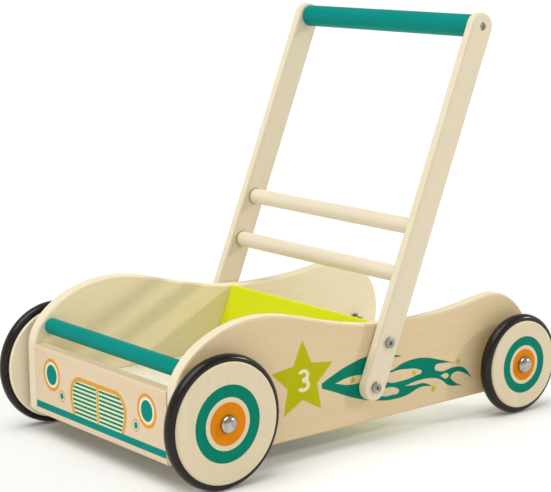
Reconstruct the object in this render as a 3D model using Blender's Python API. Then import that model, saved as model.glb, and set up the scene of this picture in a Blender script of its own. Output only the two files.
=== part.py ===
"""A child's wooden push-along walker in the shape of an open-topped car.

Two plywood side panels carry a front panel, a floor let into grooves and a sloping rear panel. Two
leaning posts are bolted through the sides into the rear panel, and carry the rails and the handle.
Each wheel turns on its own axle bolt, with a rubber tyre in a groove round its rim.

Units are metres, +Z is up, the front faces -Y and the left side is +X. The origin is on the ground
under the middle of the walker. Heights of the tray are measured from the front axle, and the posts
stand on the rear panel, so that a change of wheel or wheelbase carries everything with it.
"""

from math import cos, pi, radians, sin

import bmesh
import bpy
from mathutils import Matrix, Vector
from mathutils.geometry import interpolate_bezier

# Overall sizes
WHEELBASE = 0.426
TRAY_WIDTH = 0.281  # over the outer faces of the side panels
FRONT_WHEEL_RADIUS = 0.070  # over the tyre
REAR_WHEEL_RADIUS = 0.0575
PANEL = 0.015  # plywood of the sides, the front and the rear panel
GAP = 0.0003  # between pieces that touch

# Side panel outline: heights above the front axle, distances from the nearer axle
NOSE_OVERHANG = 0.045
TAIL_OVERHANG = 0.039
PANEL_DROP = 0.045  # bottom edge below the front axle
NOSE_TOP = 0.030
CREST_TOP = 0.095
CREST_BACK = 0.060
DIP_TOP = 0.0595
DIP_AHEAD = 0.151
TAIL_TOP = 0.070
TAIL_CREST_AHEAD = 0.024
TAIL_MIDDLE = 0.002
HEEL_LENGTH = 0.025
TOE_RADIUS = 0.006
EDGE_ROUND = 0.003
CURVE_STEPS = 9

# Front panel and floor
FRONT_PANEL_TOP = 0.033
FLOOR = 0.006
FLOOR_DROP = 0.0137  # floor's top below the front axle
GROOVE_DEPTH = 0.004

# Posts, rails and handle
POST_TILT = radians(22.4)
POST_WIDTH = 0.030
POST_THICKNESS = 0.012
POST_ROUND = 0.0025
POST_LENGTH = 0.410  # between the centres of its round ends
FOOT_AHEAD = 0.215  # foot bolt in front of the rear axle
FOOT_ABOVE_FLOOR = 0.0097
REAR_PANEL_TOP = 0.0677  # along the post, from the foot bolt
BOLT_SPACING = 0.0505
LOWER_RAIL_ALONG = 0.125
UPPER_RAIL_ALONG = 0.179
RAIL_RADIUS = 0.009
TENON_RADIUS = 0.006
TENON_LENGTH = 0.008
HANDLE_RADIUS = 0.0125
FRONT_BAR_RADIUS = 0.009
FRONT_BAR_AHEAD = 0.0223
FRONT_BAR_TOP = 0.0502  # its axis above the front axle

# Wheels and axles
WHEEL_THICKNESS = 0.018
WHEEL_OFFSET = 0.009  # side panel to the wheel's inner face
WHEEL_EDGE = 0.0022
TYRE_HALF_WIDTH = 0.0068
TYRE_HALF_DEPTH = 0.005
TYRE_PROUD = 0.007  # beyond the wooden rim
AXLE_RADIUS = 0.004
RUNNING_CLEARANCE = 0.0001
BUSH_WALL = 0.002
SPACER_RADIUS = 0.009
DOME_RADIUS = 0.00975
DOME_HEIGHT = 0.007
WASHER_RADIUS = 0.008
WASHER = 0.0016
NUT_FLATS = 0.013
NUT = 0.0065
AXLE_END = 0.002  # thread past the nut

# Bolts and screws
BOLT_RADIUS = 0.0025
BOLT_HEAD_RADIUS = 0.0062
BOLT_HEAD = 0.0024
SOCKET_FLATS = 0.004
SOCKET_DEPTH = 0.0016
BARREL_RADIUS = 0.004
BARREL_LENGTH = 0.011
BARREL_INSET = 0.025
SCREW_RADIUS = 0.002
SCREW_HEAD_RADIUS = 0.004
SCREW_HEAD = 0.0025
SCREW_RECESS = 0.0045
SCREW_BITE = 0.030  # thread in the piece that it holds
FRONT_SCREW_HEIGHTS = (-0.025, 0.015)

WHEEL_STEPS = 40
AXLE_STEPS = 24
SMALL_STEPS = 16

# Values that follow from those above
REAR_AXLE_Y = (FRONT_WHEEL_RADIUS + WHEELBASE - REAR_WHEEL_RADIUS) / 2
FRONT_AXLE_Y = REAR_AXLE_Y - WHEELBASE
DATUM = FRONT_WHEEL_RADIUS
OUTER = TRAY_WIDTH / 2
INNER = OUTER - PANEL
NOSE_Y = FRONT_AXLE_Y - NOSE_OVERHANG
TAIL_Y = REAR_AXLE_Y + TAIL_OVERHANG
BOTTOM = DATUM - PANEL_DROP
FLOOR_TOP = DATUM - FLOOR_DROP
POST_INNER = OUTER + GAP
POST_OUTER = POST_INNER + POST_THICKNESS
FOOT = Vector((0, REAR_AXLE_Y - FOOT_AHEAD, FLOOR_TOP + FOOT_ABOVE_FLOOR))
UP_POST = Vector((0, sin(POST_TILT), cos(POST_TILT)))
FRONT_BAR = Vector((0, FRONT_AXLE_Y - FRONT_BAR_AHEAD, DATUM + FRONT_BAR_TOP))
SIDES = {"left": 1, "right": -1}

# Colour, roughness and metallic value of each finish
FINISHES = {
    "pale_plywood": ((0.72, 0.61, 0.41), 0.45, 0),
    "teal_paint": ((0.0, 0.27, 0.22), 0.35, 0),
    "lime_paint": ((0.66, 0.68, 0.03), 0.40, 0),
    "black_rubber": ((0.02, 0.02, 0.02), 0.35, 0),
    "chrome": ((0.80, 0.80, 0.80), 0.12, 1),
    "zinc_steel": ((0.55, 0.55, 0.53), 0.35, 1),
    "white_nylon": ((0.85, 0.84, 0.80), 0.50, 0),
}


def clear_scene():
    for old in list(bpy.data.objects):
        bpy.data.objects.remove(old, do_unlink=True)


def finish_material(name, finish):
    colour, roughness, metallic = FINISHES[finish]
    material = bpy.data.materials.new(name)
    material.use_nodes = True
    shader = material.node_tree.nodes["Principled BSDF"]
    shader.inputs["Base Color"].default_value = (*colour, 1)
    shader.inputs["Roughness"].default_value = roughness
    shader.inputs["Metallic"].default_value = metallic
    return material


def add_object(name, shape, location=(0, 0, 0), tilt=0.0, finish=None, parent=None):
    """Adds the bmesh as an object. A piece with no finish is a cutter."""
    bmesh.ops.recalc_face_normals(shape, faces=shape.faces)
    mesh = bpy.data.meshes.new(name)
    shape.to_mesh(mesh)
    shape.free()
    piece = bpy.data.objects.new(name, mesh)
    bpy.context.collection.objects.link(piece)
    piece.location = location
    piece.rotation_euler.x = -tilt
    piece.parent = parent
    if finish:
        mesh.materials.append(finish_material(name, finish))
        mesh.shade_smooth()
        mesh.set_sharp_from_angle(angle=radians(35))
    else:
        piece.hide_render = True
        piece.display_type = "WIRE"
    return piece


def cut(piece, cutters):
    for cutter in cutters:
        boolean = piece.modifiers.new(cutter.name, "BOOLEAN")
        boolean.operation = "DIFFERENCE"
        boolean.solver = "EXACT"
        boolean.object = cutter


def turned(profile, steps):
    """Spins (x, radius) points about X. A profile that leaves the axis open is closed into a ring."""
    shape = bmesh.new()
    points = [shape.verts.new((x, 0, radius)) for x, radius in profile]
    edges = [shape.edges.new(pair) for pair in zip(points, points[1:])]
    if profile[0][1] > 0:
        edges.append(shape.edges.new((points[-1], points[0])))
    bmesh.ops.spin(
        shape, geom=points + edges, cent=(0, 0, 0), axis=(1, 0, 0), angle=2 * pi, steps=steps, use_merge=True
    )
    bmesh.ops.remove_doubles(shape, verts=shape.verts, dist=1e-6)
    return shape


def rod(start, end, radius, steps=SMALL_STEPS):
    return turned([(start, 0), (start, radius), (end, radius), (end, 0)], steps)


def ring(start, end, inner, outer, steps=SMALL_STEPS):
    return turned([(start, inner), (start, outer), (end, outer), (end, inner)], steps)


def hexagon(start, end, flats):
    """A hexagonal prism along X, measured across its flats."""
    return turned([(start, 0), (start, flats / 2 / cos(pi / 6)), (end, flats / 2 / cos(pi / 6)), (end, 0)], 6)


def plate(outline, start, end, rounding=0.0):
    """Extrudes a closed (y, z) outline along X, with its two rims rounded."""
    shape = bmesh.new()
    face = shape.faces.new([shape.verts.new((start, y, z)) for y, z in outline])
    moved = bmesh.ops.extrude_face_region(shape, geom=[face])["geom"]
    verts = [item for item in moved if isinstance(item, bmesh.types.BMVert)]
    bmesh.ops.translate(shape, verts=verts, vec=(end - start, 0, 0))
    if rounding:
        rims = [edge for edge in shape.edges if abs(edge.verts[0].co.x - edge.verts[1].co.x) < 1e-6]
        bmesh.ops.bevel(
            shape, geom=rims, offset=rounding, segments=2, profile=0.5, affect="EDGES", material=-1
        )
    return shape


def box(low, high):
    shape = bmesh.new()
    bmesh.ops.create_cube(shape, size=1)
    size = Vector(high) - Vector(low)
    bmesh.ops.transform(shape, matrix=Matrix.Diagonal(size).to_4x4(), verts=shape.verts)
    bmesh.ops.translate(shape, verts=shape.verts, vec=(Vector(high) + Vector(low)) / 2)
    return shape


def arc(centre, radius, first, last, steps):
    """Points round a centre, from the first angle to the last, in degrees."""
    turns = [radians(first + (last - first) * step / steps) for step in range(steps + 1)]
    return [(centre[0] + radius * cos(turn), centre[1] + radius * sin(turn)) for turn in turns]


def along_post(distance):
    return FOOT + UP_POST * distance


# Tray


def side_outline():
    """The car's profile: knots on smooth curves, each with its handles as shares of the stretch."""
    crest = Vector((FRONT_AXLE_Y + CREST_BACK, DATUM + CREST_TOP))
    dip = Vector((REAR_AXLE_Y - DIP_AHEAD, DATUM + DIP_TOP))
    tail_crest = Vector((REAR_AXLE_Y - TAIL_CREST_AHEAD, DATUM + TAIL_TOP))
    tail = Vector((TAIL_Y, DATUM + TAIL_MIDDLE))
    heel = Vector((TAIL_Y - HEEL_LENGTH, BOTTOM))
    nose = Vector((NOSE_Y, DATUM + NOSE_TOP))
    level, upright = Vector((1, 0)), Vector((0, 1))
    stretches = (
        (nose, upright, 0.46, crest, level, 0.57),
        (crest, level, 0.28, dip, level, 0.51),
        (dip, level, 0.63, tail_crest, level, 0.20),
        (tail_crest, level, 0.51, tail, -upright, 0.47),
        (tail, -upright, 0.57, heel, -level, 0.76),
    )
    points = []
    for start, leaving, share_out, end, arriving, share_in in stretches:
        span = end - start
        handle_out = start + leaving * abs(span.dot(leaving)) * share_out
        handle_in = end - arriving * abs(span.dot(arriving)) * share_in
        curve = interpolate_bezier(start, handle_out, handle_in, end, CURVE_STEPS + 1)
        points += [(point.x, point.y) for point in curve[:-1]]
    points.append(tuple(heel))
    points += arc((NOSE_Y + TOE_RADIUS, BOTTOM + TOE_RADIUS), TOE_RADIUS, 270, 180, 3)
    return points


def side_panel(side, sign):
    panel = add_object(
        f"side_panel_{side}", plate(side_outline(), sign * INNER, sign * OUTER, EDGE_ROUND), finish="pale_plywood"
    )
    past = PANEL
    through = (sign * (INNER - past), sign * (OUTER + past))
    axle_hole = AXLE_RADIUS + GAP
    screw_hole = SCREW_RADIUS + GAP
    holes = [
        ("front_axle", (0, FRONT_AXLE_Y, FRONT_WHEEL_RADIUS), axle_hole),
        ("rear_axle", (0, REAR_AXLE_Y, REAR_WHEEL_RADIUS), axle_hole),
        ("foot_bolt", along_post(0), BOLT_RADIUS + GAP),
        ("upper_bolt", along_post(BOLT_SPACING), BOLT_RADIUS + GAP),
        ("front_bar", FRONT_BAR, screw_hole),
    ]
    holes += [(f"front_screw_{n}", place, screw_hole) for n, place in enumerate(front_screw_places())]
    cutters = [add_object(f"cut_{side}_{name}", rod(*through, radius), place) for name, place, radius in holes]
    recess = (sign * (OUTER - SCREW_RECESS), sign * (OUTER + past))
    for n, place in enumerate([FRONT_BAR, *front_screw_places()]):
        shape = rod(*recess, SCREW_HEAD_RADIUS + GAP)
        cutters.append(add_object(f"cut_{side}_recess_{n}", shape, place))
    cutters.append(add_object(f"cut_{side}_groove", floor_slab(GAP)))
    cut(panel, cutters)


def front_panel_back():
    return NOSE_Y + PANEL


def front_screw_places():
    return [Vector((0, NOSE_Y + PANEL / 2, DATUM + height)) for height in FRONT_SCREW_HEIGHTS]


def front_panel():
    across = INNER - GAP
    shape = box((-across, NOSE_Y, BOTTOM), (across, front_panel_back(), DATUM + FRONT_PANEL_TOP))
    long_edges = [edge for edge in shape.edges if abs(edge.verts[0].co.x - edge.verts[1].co.x) > across]
    bmesh.ops.bevel(
        shape, geom=long_edges, offset=EDGE_ROUND, segments=3, profile=0.5, affect="EDGES", material=-1
    )
    panel = add_object("front_panel", shape, finish="pale_plywood")
    cutters = [add_object("cut_front_groove", floor_slab(GAP))]
    for side, sign in SIDES.items():
        for n, place in enumerate(front_screw_places()):
            shape = rod(sign * (across - SCREW_BITE), sign * (across + PANEL), SCREW_RADIUS + GAP)
            cutters.append(add_object(f"cut_front_{side}_{n}", shape, place))
    cut(panel, cutters)


def rear_panel_section():
    """Corners of the rear panel across its width, in the post's own frame, with its foot cut level."""
    half = PANEL / 2
    foot = FLOOR_TOP + GAP - FOOT.z
    low_front = (foot - half * sin(POST_TILT)) / cos(POST_TILT)
    low_rear = (foot + half * sin(POST_TILT)) / cos(POST_TILT)
    return [(-half, low_front), (half, low_rear), (half, REAR_PANEL_TOP), (-half, REAR_PANEL_TOP)]


def floor_slab(extra):
    """The floor, grown by the given amount all round to cut its own groove."""
    _, (y, z), *_ = rear_panel_section()
    rear = FOOT.y + y * cos(POST_TILT) + z * sin(POST_TILT)
    across = INNER + GROOVE_DEPTH - GAP + extra
    low = (-across, front_panel_back() - GROOVE_DEPTH + GAP - extra, FLOOR_TOP - FLOOR - extra)
    return box(low, (across, rear + extra, FLOOR_TOP + extra))


def rear_panel():
    across = INNER - GAP
    panel = add_object(
        "rear_panel", plate(rear_panel_section(), -across, across), FOOT, POST_TILT, finish="lime_paint"
    )
    cutters = []
    barrel_hole = BARREL_RADIUS + GAP
    bolt_hole = BOLT_RADIUS + GAP
    for side, sign in SIDES.items():
        for n, along in enumerate((0, BOLT_SPACING)):
            place = along_post(along)
            shape = rod(sign * (across - BARREL_INSET - BARREL_RADIUS), sign * (across + PANEL), bolt_hole)
            cutters.append(add_object(f"cut_bolt_{side}_{n}", shape, place))
            shape = rod(-BARREL_LENGTH / 2 - GAP, PANEL, barrel_hole)
            bmesh.ops.rotate(shape, verts=shape.verts, cent=(0, 0, 0), matrix=Matrix.Rotation(pi / 2, 3, "Z"))
            barrel = place + Vector((sign * (across - BARREL_INSET), 0, 0))
            cutters.append(add_object(f"cut_barrel_{side}_{n}", shape, barrel, POST_TILT))
    cut(panel, cutters)


def tray():
    for side, sign in SIDES.items():
        side_panel(side, sign)
    front_panel()
    add_object("floor_panel", floor_slab(0), finish="pale_plywood")
    rear_panel()


# Posts, rails and bars


def post(side, sign):
    half = POST_WIDTH / 2
    outline = arc((0, 0), half, 180, 360, 10) + arc((0, POST_LENGTH), half, 0, 180, 10)
    shape = plate(outline, sign * POST_INNER, sign * POST_OUTER, POST_ROUND)
    board = add_object(f"post_{side}", shape, FOOT, POST_TILT, finish="pale_plywood")
    through = (sign * (POST_INNER - PANEL), sign * (POST_OUTER + PANEL))
    recess = (sign * (POST_OUTER - SCREW_RECESS), sign * (POST_OUTER + PANEL))
    tenon = (sign * (POST_INNER - PANEL), sign * (POST_INNER + TENON_LENGTH))
    holes = [
        ("foot", 0, through, BOLT_RADIUS + GAP),
        ("upper", BOLT_SPACING, through, BOLT_RADIUS + GAP),
        ("lower_rail", LOWER_RAIL_ALONG, tenon, TENON_RADIUS + GAP),
        ("upper_rail", UPPER_RAIL_ALONG, tenon, TENON_RADIUS + GAP),
        ("handle", POST_LENGTH, through, SCREW_RADIUS + GAP),
        ("handle_recess", POST_LENGTH, recess, SCREW_HEAD_RADIUS + GAP),
    ]
    cut(
        board,
        [
            add_object(f"cut_{name}_{side}", rod(*span, radius), along_post(along))
            for name, along, span, radius in holes
        ],
    )


def tenoned_rail(name, along):
    shoulder = POST_INNER - GAP
    end = POST_INNER + TENON_LENGTH - GAP
    half = [(shoulder, RAIL_RADIUS), (shoulder, TENON_RADIUS), (end, TENON_RADIUS), (end, 0)]
    profile = [(-x, radius) for x, radius in reversed(half)] + half
    add_object(name, turned(profile, AXLE_STEPS), along_post(along), finish="pale_plywood")


def screwed_bar(name, place, radius, half_length):
    bar = add_object(name, rod(-half_length, half_length, radius, AXLE_STEPS), place, finish="teal_paint")
    ends = [(sign * (half_length - SCREW_BITE - GAP), sign * (half_length + PANEL)) for sign in SIDES.values()]
    cut(bar, [add_object(f"cut_{name}_{n}", rod(*end, SCREW_RADIUS + GAP), place) for n, end in enumerate(ends)])


def frame():
    for side, sign in SIDES.items():
        post(side, sign)
    tenoned_rail("lower_rail", LOWER_RAIL_ALONG)
    tenoned_rail("upper_rail", UPPER_RAIL_ALONG)
    screwed_bar("handle_bar", along_post(POST_LENGTH), HANDLE_RADIUS, POST_INNER - GAP)
    screwed_bar("front_bar", FRONT_BAR, FRONT_BAR_RADIUS, INNER - GAP)


# Fasteners


def wood_screw(name, sign, face, tip, place):
    """A countersunk screw along X, its head at the bottom of a recess in the outer face."""
    seat = face - SCREW_RECESS + GAP
    profile = [
        (tip, 0),
        (tip + 2 * SCREW_RADIUS, SCREW_RADIUS),
        (seat, SCREW_RADIUS),
        (seat, SCREW_HEAD_RADIUS),
        (seat + SCREW_HEAD, SCREW_HEAD_RADIUS),
        (seat + SCREW_HEAD, 0),
    ]
    add_object(name, turned([(sign * x, r) for x, r in profile], SMALL_STEPS), place, finish="zinc_steel")


def post_bolt(name, sign, place):
    seat = POST_OUTER + GAP
    top = seat + BOLT_HEAD
    tip = INNER - GAP - BARREL_INSET - BARREL_RADIUS + GAP
    rim = BOLT_HEAD_RADIUS - BOLT_HEAD / 3
    profile = [
        (tip, 0),
        (tip, BOLT_RADIUS),
        (seat, BOLT_RADIUS),
        (seat, BOLT_HEAD_RADIUS),
        (seat + BOLT_HEAD / 2, BOLT_HEAD_RADIUS),
        (top, rim),
        (top, 0),
    ]
    bolt = add_object(name, turned([(sign * x, r) for x, r in profile], SMALL_STEPS), place, finish="zinc_steel")
    socket = hexagon(sign * (top - SOCKET_DEPTH), sign * (top + BOLT_HEAD), SOCKET_FLATS)
    cut(bolt, [add_object(f"cut_{name}", socket, place)])


def barrel_nut(name, sign, place):
    """A cross dowel through the rear panel, tapped across its middle for the bolt."""
    shape = rod(-BARREL_LENGTH / 2, BARREL_LENGTH / 2, BARREL_RADIUS)
    bmesh.ops.rotate(shape, verts=shape.verts, cent=(0, 0, 0), matrix=Matrix.Rotation(pi / 2, 3, "Z"))
    centre = place + Vector((sign * (INNER - GAP - BARREL_INSET), 0, 0))
    nut = add_object(name, shape, centre, POST_TILT, finish="zinc_steel")
    thread = rod(-PANEL, PANEL, BOLT_RADIUS + GAP)
    cut(nut, [add_object(f"cut_{name}", thread, centre)])


def fasteners():
    for side, sign in SIDES.items():
        for level, along in (("foot", 0), ("upper", BOLT_SPACING)):
            post_bolt(f"post_bolt_{level}_{side}", sign, along_post(along))
            barrel_nut(f"barrel_nut_{level}_{side}", sign, along_post(along))
        handle_tip = POST_INNER - SCREW_BITE
        wood_screw(f"handle_screw_{side}", sign, POST_OUTER, handle_tip, along_post(POST_LENGTH))
        wood_screw(f"front_bar_screw_{side}", sign, OUTER, INNER - SCREW_BITE, FRONT_BAR)
        for level, place in zip(("low", "high"), front_screw_places()):
            wood_screw(f"front_panel_screw_{level}_{side}", sign, OUTER, INNER - SCREW_BITE, place)


# Wheels


def wheel_profile(radius):
    """Half section of a wooden wheel, measured out from its inner face, with a groove for the tyre."""
    rim = radius - TYRE_PROUD
    bore = AXLE_RADIUS + RUNNING_CLEARANCE + BUSH_WALL + GAP
    middle = WHEEL_THICKNESS / 2
    tyre_centre = radius - TYRE_HALF_DEPTH
    depth = TYRE_HALF_DEPTH + GAP
    half_width = (TYRE_HALF_WIDTH + GAP) * (1 - ((tyre_centre - rim) / depth) ** 2) ** 0.5
    inner_edge = arc((WHEEL_EDGE, rim - WHEEL_EDGE), WHEEL_EDGE, 180, 90, 2)
    outer_edge = arc((WHEEL_THICKNESS - WHEEL_EDGE, rim - WHEEL_EDGE), WHEEL_EDGE, 90, 0, 2)
    floor_width = half_width * 0.5
    floor = tyre_centre - depth
    channel = [
        (middle - half_width, rim),
        (middle - floor_width, floor),
        (middle + floor_width, floor),
        (middle + half_width, rim),
    ]
    return [(0, bore), *inner_edge, *channel, *outer_edge, (WHEEL_THICKNESS, bore)]


def tyre_profile(radius):
    """Oval section of a tyre, wider than it is deep."""
    middle = WHEEL_THICKNESS / 2
    centre = radius - TYRE_HALF_DEPTH
    return [(middle + TYRE_HALF_WIDTH * x, centre + TYRE_HALF_DEPTH * y) for x, y in arc((0, 0), 1, 90, -225, 7)]


def axle_profile():
    """Domed bolt head outside the wheel, shank through to the nut."""
    seat = WHEEL_THICKNESS + GAP
    tip = -(WHEEL_OFFSET + PANEL + WASHER + NUT + 2 * GAP + AXLE_END)
    dome = [
        (seat + DOME_HEIGHT * sin(radians(turn)), DOME_RADIUS * cos(radians(turn))) for turn in (0, 22, 45, 68, 90)
    ]
    return [(tip, 0), (tip, AXLE_RADIUS), (seat, AXLE_RADIUS), *dome]


def wheel_station(end, side, sign, axle_y, radius):
    """One wheel and the pieces on its axle, hung on an empty where the axis meets the inner face."""
    centre = bpy.data.objects.new(f"axle_{end}_{side}", None)
    bpy.context.collection.objects.link(centre)
    centre.location = (sign * (OUTER + WHEEL_OFFSET), axle_y, radius)
    shaft_hole = AXLE_RADIUS + GAP
    bush_bore = AXLE_RADIUS + RUNNING_CLEARANCE
    nut_seat = -(WHEEL_OFFSET + PANEL + WASHER + 2 * GAP)
    spacer = (-WHEEL_OFFSET + GAP, -GAP)
    washer = (nut_seat + GAP, nut_seat + GAP + WASHER)
    pieces = (
        ("wheel", turned(wheel_profile(radius), WHEEL_STEPS), "pale_plywood"),
        ("tyre", turned(tyre_profile(radius), WHEEL_STEPS), "black_rubber"),
        ("wheel_bush", ring(0, WHEEL_THICKNESS, bush_bore, bush_bore + BUSH_WALL, AXLE_STEPS), "white_nylon"),
        ("axle_bolt", turned(axle_profile(), AXLE_STEPS), "chrome"),
        ("axle_spacer", ring(*spacer, shaft_hole, SPACER_RADIUS), "white_nylon"),
        ("axle_washer", ring(*washer, shaft_hole, WASHER_RADIUS), "zinc_steel"),
        ("axle_nut", hexagon(nut_seat - NUT, nut_seat, NUT_FLATS), "zinc_steel"),
    )
    for name, shape, finish in pieces:
        bmesh.ops.scale(shape, verts=shape.verts, vec=(sign, 1, 1))
        piece = add_object(f"{name}_{end}_{side}", shape, finish=finish, parent=centre)
        if name == "axle_nut":
            thread = rod(nut_seat - 2 * NUT, nut_seat + NUT, shaft_hole)
            bmesh.ops.scale(thread, verts=thread.verts, vec=(sign, 1, 1))
            cut(piece, [add_object(f"cut_nut_{end}_{side}", thread, parent=centre)])


def wheels():
    for side, sign in SIDES.items():
        wheel_station("front", side, sign, FRONT_AXLE_Y, FRONT_WHEEL_RADIUS)
        wheel_station("rear", side, sign, REAR_AXLE_Y, REAR_WHEEL_RADIUS)


clear_scene()
tray()
frame()
fasteners()
wheels()
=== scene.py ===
"""The finished look of the wooden push-along baby walker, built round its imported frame.

Every place comes from the frame: the boards, wheels, bars and screws are made again as fine meshes
where the frame's own pieces stand, and the prints are thin films of ink on their faces. Metres
throughout, +Z up, the front of the walker faces -Y and its left side is +X.
"""

from math import asin, cos, degrees, pi, radians, sin

import bmesh
import bpy
from mathutils import Matrix, Vector
from mathutils.geometry import interpolate_bezier


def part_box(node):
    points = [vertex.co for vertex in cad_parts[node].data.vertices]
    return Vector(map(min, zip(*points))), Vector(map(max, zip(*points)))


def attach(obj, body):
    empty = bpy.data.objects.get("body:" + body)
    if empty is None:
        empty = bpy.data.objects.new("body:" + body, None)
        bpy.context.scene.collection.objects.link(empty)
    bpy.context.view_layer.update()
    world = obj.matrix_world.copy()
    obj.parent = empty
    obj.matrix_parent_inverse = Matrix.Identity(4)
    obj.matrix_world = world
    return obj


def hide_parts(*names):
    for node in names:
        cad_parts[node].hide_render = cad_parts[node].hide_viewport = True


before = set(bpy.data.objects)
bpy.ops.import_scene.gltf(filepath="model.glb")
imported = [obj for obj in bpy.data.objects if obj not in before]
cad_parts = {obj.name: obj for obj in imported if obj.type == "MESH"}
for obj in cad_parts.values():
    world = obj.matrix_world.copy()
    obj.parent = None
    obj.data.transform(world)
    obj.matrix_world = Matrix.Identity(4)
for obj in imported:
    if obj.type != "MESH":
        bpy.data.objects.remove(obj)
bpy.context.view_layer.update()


def middle(node):
    low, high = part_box(node)
    return (low + high) / 2


def level_with(node):
    """The point on the walker's middle plane level with the middle of a node."""
    return Vector((0, *middle(node).yz))


def half_height(node):
    low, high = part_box(node)
    return (high.z - low.z) / 2


# Places read from the frame
PANEL_LOW, PANEL_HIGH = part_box("side_panel_left")
INNER, OUTER = PANEL_LOW.x, PANEL_HIGH.x
NOSE_Y, TAIL_Y = PANEL_LOW.y, PANEL_HIGH.y
BOTTOM = PANEL_LOW.z
FRONT_AXLE = level_with("tyre_front_left")
REAR_AXLE = level_with("tyre_rear_left")
DATUM = FRONT_AXLE.z
FRONT_LOW, FRONT_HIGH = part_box("front_panel")
FLOOR_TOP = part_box("floor_panel")[1].z
POST_LOW, POST_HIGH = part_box("post_left")
FOOT = level_with("post_bolt_foot_left")
UPPER_BOLT = level_with("post_bolt_upper_left")
HANDLE = level_with("handle_bar")
FRONT_BAR = level_with("front_bar")
UP_POST = (HANDLE - FOOT).normalized()
POST_TILT = UP_POST.angle(Vector((0, 0, 1)))
POST_HALF_WIDTH = POST_HIGH.z - HANDLE.z
SIDES = {"left": 1, "right": -1}
ENDS = {"front": FRONT_AXLE, "rear": REAR_AXLE}

# Side panel outline, from the axles
NOSE_TOP = 0.030
CREST_BACK = 0.060
DIP = (0.151, 0.0595)
TAIL_CREST = (0.024, 0.070)
TAIL_MIDDLE = 0.002
HEEL_LENGTH = 0.025
TOE_RADIUS = 0.006
CURVE_STEPS = 40

# Rounding, clearances and fineness of the turned work
GAP = 0.0003
BOARD_ROUND = 0.003
POST_ROUND = 0.0025
ROUND_STEPS = 5
WHEEL_EDGE = 0.0022
BORE_EASE = 0.0005
TYRE_HALF_DEPTH = 0.005
WHEEL_STEPS = 160
BAR_STEPS = 96
SMALL_STEPS = 48
AXLE_RADIUS = 0.004
BOLT_RADIUS = 0.0025
SCREW_RADIUS = 0.002
SCREW_HEAD_RADIUS = 0.004
SCREW_RECESS = 0.0045
SCREW_HEAD = 0.0025
SCREW_TURNS = {  # how far each kind's cross is turned, in radians
    "handle_screw": 0.5,
    "front_bar_screw": 0.2,
    "front_panel_screw_low": 0.9,
    "front_panel_screw_high": 0.3,
}
BARREL_RADIUS = 0.004
BARREL_HALF_LENGTH = 0.0055
BARREL_BORE = 0.0058  # how far a dowel's hole goes past the middle of the board
BARREL_SLOT_DEPTH, BARREL_SLOT_HALF = 0.0011, 0.0005
SOCKET_FLATS = 0.004
SOCKET_DEPTH = 0.0016
THREAD_PITCH = 0.00125
THREAD_DEPTH = 0.0005
PAST = 0.01  # how far a cutter runs past the wood
TENON_RADIUS = 0.006
RAIL_SOCKET_GAP = 0.0004  # round each rail, where it meets its post
RAIL_SOCKET_DEPTH = 0.0012
INK = 0.00007
FACE_SKIN = 0.0002  # keeps a board's two faces inside their veneers
BOARD_PLIES, POST_PLIES, FLOOR_PLIES = 11, 7, 5
PLY_BLEND = 0.05  # share of a ply over which one tone gives way to the next

# Printed rings of the front wheel, and their size on the rear one
TEAL_RING = (0.0274, 0.0402)
ORANGE_DISC = 0.0224
REAR_RINGS = 0.82
STRIP_HALF, STRIP_LOW, STRIP_TOP = 0.1242, 0.0325, 0.0403
GRILLE_HALF, GRILLE_BULGE, GRILLE_SHOULDER, GRILLE_TOP = 0.0490, 0.0050, 0.0640, 0.0838
GRILLE_STROKE, GRILLE_CLEAR, GRILLE_FIELD = 0.0045, 0.0052, 0.003
CENTRE_BAR_HALF, CENTRE_BAR_TOP = 0.00175, 0.0805
SLAT_COUNT, SLAT_PITCH, SLAT, SLAT_LOW, SLAT_START = 8, 0.0047, 0.0021, 0.0425, 0.0025

# Lamps: place on the front panel, then half width and half height of each oval
LAMP = (0.091, 0.075)
LAMP_FIELD, LAMP_LENS = (0.0142, 0.0154), (0.0103, 0.0113)
LAMP_RING = ((0.0170, 0.0182), (0.0135, 0.0144))
FOG = (0.071, 0.0553)
FOG_FIELD, FOG_LENS = (0.0052, 0.0060), (0.0032, 0.0039)
FOG_RING = ((0.0058, 0.0066), (0.0047, 0.0054))

# Finish colours, linear
SIDE_BIRCH = ((0.705, 0.555, 0.335), (0.61, 0.47, 0.275))
FRONT_BIRCH = ((0.80, 0.64, 0.44), (0.715, 0.555, 0.36))
EDGE_BIRCH = ((0.92, 0.84, 0.64), (0.84, 0.75, 0.55))
POST_BIRCH = ((0.735, 0.645, 0.485), (0.66, 0.57, 0.41))
FLOOR_BIRCH = ((0.80, 0.80, 0.67), (0.73, 0.72, 0.59))
# Tray-facing veneer of the side and front boards: much paler than their outer faces, painted light that
# brightens the shaded inside of the tray
INSIDE_BIRCH_PAINTED_LIGHT = ((0.89, 0.795, 0.575), (0.81, 0.705, 0.485))
WHEEL_BEECH = ((0.69, 0.60, 0.42), (0.62, 0.525, 0.355))
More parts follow.
